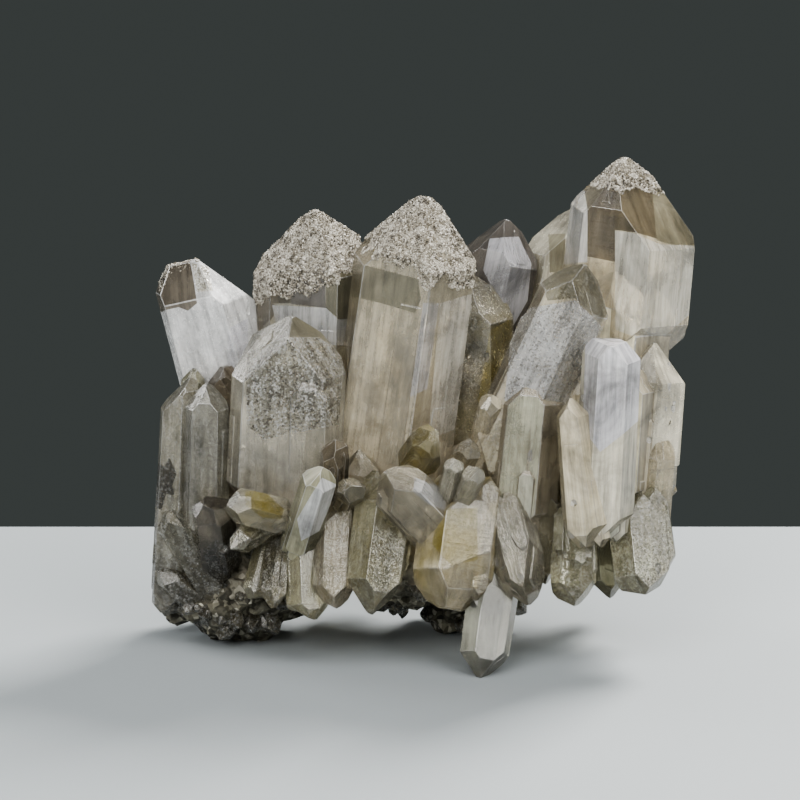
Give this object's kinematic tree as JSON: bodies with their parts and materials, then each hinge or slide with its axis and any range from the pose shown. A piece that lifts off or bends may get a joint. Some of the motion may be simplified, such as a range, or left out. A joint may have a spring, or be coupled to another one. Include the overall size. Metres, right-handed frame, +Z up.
{
  "type": "quartz crystal cluster",
  "caption": "Natural cluster of pale smoky quartz points grown side by side on a rough crust, frosted at the tips and resting on its own base.",
  "frame": {"origin": "middle of the footprint of the bounding box, on the surface that the cluster rests on", "axes": "+X to the right along the row of points as seen from the front, +Y away from the front, +Z up"},
  "size_m": [0.1218, 0.0716, 0.1088],
  "materials": {
    "quartz": "pale smoky quartz, clear to milky, with glossy faces and sugary frosted tips"
  },
  "bodies": {
    "root": {"quartz_cluster": "quartz"}
  },
  "joints": []
}
